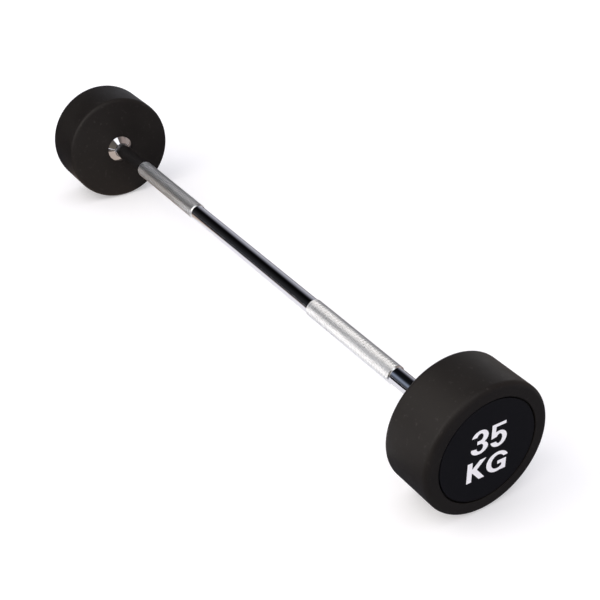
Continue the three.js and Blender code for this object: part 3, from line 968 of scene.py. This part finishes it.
# %% The bar
EDGE_ROUND = 0.35
DRILL_POINT = 3.0
PIN_SEGMENTS = 24

grip_start = MIDDLE_HALF + GRIP_CHAMFER
grip_end = MIDDLE_HALF + GRIP_LENGTH - GRIP_CHAMFER
row_step = (grip_end - grip_start) / (KNURL_ALONG * STEPS_PER_DIAMOND)


def half_bar():
    """The right half of the bar's outline, from its middle to the bottom of the tapped hole."""
    before = [(0, NECK_RADIUS, 0), (MIDDLE_HALF, NECK_RADIUS, EDGE_ROUND), (grip_start, GRIP_RADIUS, 0)]
    rows = [Vector((grip_start + row_step * row, GRIP_RADIUS))
            for row in range(1, KNURL_ALONG * STEPS_PER_DIAMOND)]
    neck = grip_end + GRIP_CHAMFER
    after = [
        (grip_end, GRIP_RADIUS, 0), (neck, NECK_RADIUS, EDGE_ROUND),
        (bar_shoulder, NECK_RADIUS, EDGE_ROUND), (bar_shoulder, SPIGOT_RADIUS, 0),
        (spigot_end - SPIGOT_CHAMFER, SPIGOT_RADIUS, EDGE_ROUND),
        (spigot_end, SPIGOT_RADIUS - SPIGOT_CHAMFER, EDGE_ROUND),
        (spigot_end, THREAD_RADIUS, EDGE_ROUND), (THREAD_END, THREAD_RADIUS, 0),
        (THREAD_END - DRILL_POINT, 0, 0)]
    return rounded(before) + rows + rounded(after)


def pin_cutters():
    """Round bars that bite half of each pin hole out of the spigots, two at each end."""
    radius = (pin_high.z - pin_low.z) / 2 + SEAT_GAP
    height = (pin_high.z + pin_low.z) / 2 - axis_height
    work = bmesh.new()
    for end in (1, -1):
        for level in (height, -height):
            first = len(work.verts)
            for x in (pin_low.x - SEAT_GAP, spigot_end + EDGE_ROUND):
                for step in range(PIN_SEGMENTS):
                    turned = math.tau * step / PIN_SEGMENTS
                    work.verts.new((end * x * MM, radius * math.cos(turned) * MM,
                                    (axis_height + level + radius * math.sin(turned)) * MM))
            work.verts.ensure_lookup_table()
            near, far = work.verts[first:first + PIN_SEGMENTS], work.verts[first + PIN_SEGMENTS:]
            work.faces.new(near)
            work.faces.new(far)
            for step in range(PIN_SEGMENTS):
                work.faces.new((near[step - 1], near[step], far[step], far[step - 1]))
    bmesh.ops.recalc_face_normals(work, faces=work.faces)
    return from_work("pin_cutters", work)


right_half = half_bar()
bar = turn("bar", turned_about_upright(right_half)[:-1] + right_half[1:], BAR_SEGMENTS, chrome)
add_nodes(bar, knurl, {
    "Axis Height": axis_height * MM, "Grip Start": grip_start * MM, "Grip End": grip_end * MM,
    "Diamonds Along": KNURL_ALONG, "Diamonds Around": KNURL_AROUND, "Depth": KNURL_DEPTH * MM,
    "Run Out": GRIP_CHAMFER * MM, "Feed": KNURL_FEED_MM * MM, "Feed Share": KNURL_FEED_SHARE,
    "Material": chrome})
cutters = pin_cutters()
bite = bar.modifiers.new("pin_holes", "BOOLEAN")
bite.operation = "DIFFERENCE"
bite.solver = "EXACT"
bite.object = cutters
freeze(bar)
bpy.data.objects.remove(cutters)
keep(bar, "bar_shaft")

# %% [markdown]
# Each head has three turned skins. The collar ring is a low polished cone that closes the joint
# between neck and rubber. Its flank bulges by a hair, as polishing leaves it, which draws its
# reflections out. The jacket is a closed rubber shell: rounded shoulders outside, a recess for
# the cap, and inside it the two ribs that were moulded into the locking grooves of the core. The
# cap lies in the recess with a narrow groove left all round, which draws the dark ring.

# %% Collar rings, jackets and caps
LOCK_DEPTH = 3.0
LOCK_MOUTH = 12.0
LOCK_BASE = 8.0
LOCK_PLACE_SHARES = (0.27, 0.73)
RIB_ROUND = 0.5
RECESS_FLOOR_ROUND = 0.5
RECESS_LIP_ROUND = 1.0
HEAD_SEGMENTS = 192
COLLAR_SEGMENTS = 96


def collar_outline():
    """The ring, from the bar's shoulder along its bore, over the cone and back inside the rubber."""
    bore = NECK_RADIUS + SEAT_GAP
    lip = bore + COLLAR_LIP
    nose = inner_face - COLLAR_PROUD
    cone = bulged((nose, lip), (inner_face, COLLAR_RADIUS), COLLAR_BULGE)
    return rounded([(bar_shoulder, bore, 0), (nose, bore, EDGE_ROUND), *cone,
                    (bar_shoulder, COLLAR_RADIUS, 0), (bar_shoulder, bore, 0)])


def jacket_outline():
    """The rubber shell: outside, recess, then back along the wall that holds the core."""
    hole = COLLAR_RADIUS + SEAT_GAP
    cavity_start = inner_face + RUBBER_WALL
    recess_floor = outer_face - RECESS_DEPTH
    cavity_end = recess_floor - RECESS_FLOOR
    cavity = head_radius - RUBBER_WALL
    core_start, core_end = cavity_start + SEAT_GAP, cavity_end - SEAT_GAP
    ribs = []
    for share in LOCK_PLACE_SHARES:
        centre = core_start + (core_end - core_start) * share
        mouth, base = LOCK_MOUTH / 2 - SEAT_GAP, LOCK_BASE / 2 - SEAT_GAP
        ribs += [(centre - mouth, cavity, 0), (centre - base, cavity - LOCK_DEPTH, RIB_ROUND),
                 (centre + base, cavity - LOCK_DEPTH, RIB_ROUND), (centre + mouth, cavity, 0)]
    start = (cavity_start, hole, 0)
    return rounded([
        start, (inner_face, hole, EDGE_ROUND), (inner_face, head_radius, SHOULDER),
        (outer_face, head_radius, SHOULDER), (outer_face, RECESS_RADIUS, RECESS_LIP_ROUND),
        (recess_floor, RECESS_RADIUS, RECESS_FLOOR_ROUND), (recess_floor, ACCESS_RADIUS, 0),
        (cavity_end, ACCESS_RADIUS, 0), (cavity_end, cavity - CORE_CHAMFER, 0),
        (cavity_end - CORE_CHAMFER, cavity, 0), *reversed(ribs),
        (cavity_start + CORE_CHAMFER, cavity, 0), (cavity_start, cavity - CORE_CHAMFER, 0), start])


def cap_outline():
    """The cap: its back with the ring that centres it, its rim and its flat face."""
    rim = RECESS_RADIUS - CAP_GROOVE
    back = outer_face - RECESS_DEPTH + SEAT_GAP
    ring_end = outer_face - RECESS_DEPTH - RECESS_FLOOR + SEAT_GAP
    ring_outer = ACCESS_RADIUS - SEAT_GAP
    ring_inner = ring_outer - CAP_RING_WALL
    return rounded([
        (back, 0, 0), (back, ring_inner, 0), (ring_end, ring_inner, EDGE_ROUND),
        (ring_end, ring_outer, EDGE_ROUND), (back, ring_outer, 0), (back, rim, 0),
        (cap_front, rim, CAP_ROUND), (cap_front, 0, 0)])


for side in ("right", "left"):
    for piece, outline, segments, material, slot in (
            ("collar_ring", collar_outline(), COLLAR_SEGMENTS, chrome, "chrome"),
            ("head_jacket", jacket_outline(), HEAD_SEGMENTS, rubber, "rubber"),
            ("end_cap", cap_outline(), HEAD_SEGMENTS, cap_plastic, "cap_plastic")):
        if side == "left":
            outline = turned_about_upright(outline)
        skin = turn(f"{side}_{piece}_skin", outline, segments, material)
        keep(freeze(skin), f"{side}_{piece}")

# %% [markdown]
# The weight is printed on the cap in thick white: its number above, its unit below, in plain
# rounded block figures. A font would bring another maker's drawing with it, so each figure is drawn
# here, as one closed outline of straight lines and parts of ellipses, read off the photo after it was
# laid flat. White spreads against black in a picture, so each stroke is half a millimetre slimmer on
# either side than it looks. The print is raised, and stays below the rim of the head.

# %% The weight mark
MARK_RAISED = 0.35
MARK_EDGE = 0.1
MARK_EDGE_STEPS = 2
MARK_EDGE_ABOVE = math.radians(40)
ARC_STEP_DEGREES = 6.0


def arc(across, up, reach_across, reach_up, start, end):
    """Points on an ellipse round a centre, from one angle in degrees to another."""
    steps = max(FEWEST_STEPS, round(abs(end - start) / ARC_STEP_DEGREES))
    points = []
    for step in range(steps + 1):
        angle = math.radians(start + (end - start) * step / steps)
        points.append((across + reach_across * math.cos(angle), up + reach_up * math.sin(angle)))
    return points


# Millimetres right of and above the middle of the cap, as seen from outside.
FIGURES = [
    arc(-15.2, 27.8, 13.0, 10.8, 169, -50) + arc(-14.9, 10.9, 13.3, 9.2, 58, -191)
    + arc(-14.4, 11.7, 5.2, 5.6, 186, 450) + [(-19.1, 17.6), (-19.1, 22.7)]
    + arc(-15.0, 28.3, 4.9, 5.5, 270, 530),
    [(3.3, 37.7), (25.3, 37.7), (25.3, 33.2), (10.0, 33.2), (9.7, 24.9)]
    + arc(15.1, 13.3, 13.0, 12.2, 113, -166) + arc(16.0, 13.3, 4.9, 7.4, 208, 508) + [(3.5, 16.1)],
    [(-31.4, -8.1), (-23.7, -8.1), (-23.7, -19.3), (-11.9, -8.7), (-2.2, -8.7), (-16.0, -22.3),
     (-2.7, -39.1), (-11.7, -39.1), (-23.7, -24.6), (-23.7, -39.1), (-31.4, -39.1)],
    arc(17.0, -24.0, 17.6, 15.8, 24, 285)
    + [(31.2, -39.4), (31.2, -23.2), (17.3, -23.2), (17.3, -28.4), (24.2, -28.4)]
    + arc(17.4, -24.2, 10.2, 11.0, -47, -318) + [(26.4, -18.5), (32.3, -18.5)],
]


def weight_mark(name, end):
    """The raised print on the cap of one end, 1 for the right and -1 for the left."""
    work = bmesh.new()
    for figure in FIGURES:
        corners = [work.verts.new((end * cap_front * MM, end * across * MM, (axis_height + up) * MM))
                   for across, up in figure]
        work.faces.new(corners)
    raised = bmesh.ops.extrude_face_region(work, geom=work.faces[:])["geom"]
    tops = [part for part in raised if isinstance(part, bmesh.types.BMVert)]
    bmesh.ops.translate(work, verts=tops, vec=(end * MARK_RAISED * MM, 0, 0))
    thing = from_work(name, work)
    thing.data.materials.append(mark_paint)
    soften = thing.modifiers.new("soft_edge", "BEVEL")
    soften.width = MARK_EDGE * MM
    soften.segments = MARK_EDGE_STEPS
    soften.limit_method = "ANGLE"
    soften.angle_limit = MARK_EDGE_ABOVE
    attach(freeze(thing), "root")


weight_mark("right_weight_mark", 1)
weight_mark("left_weight_mark", -1)
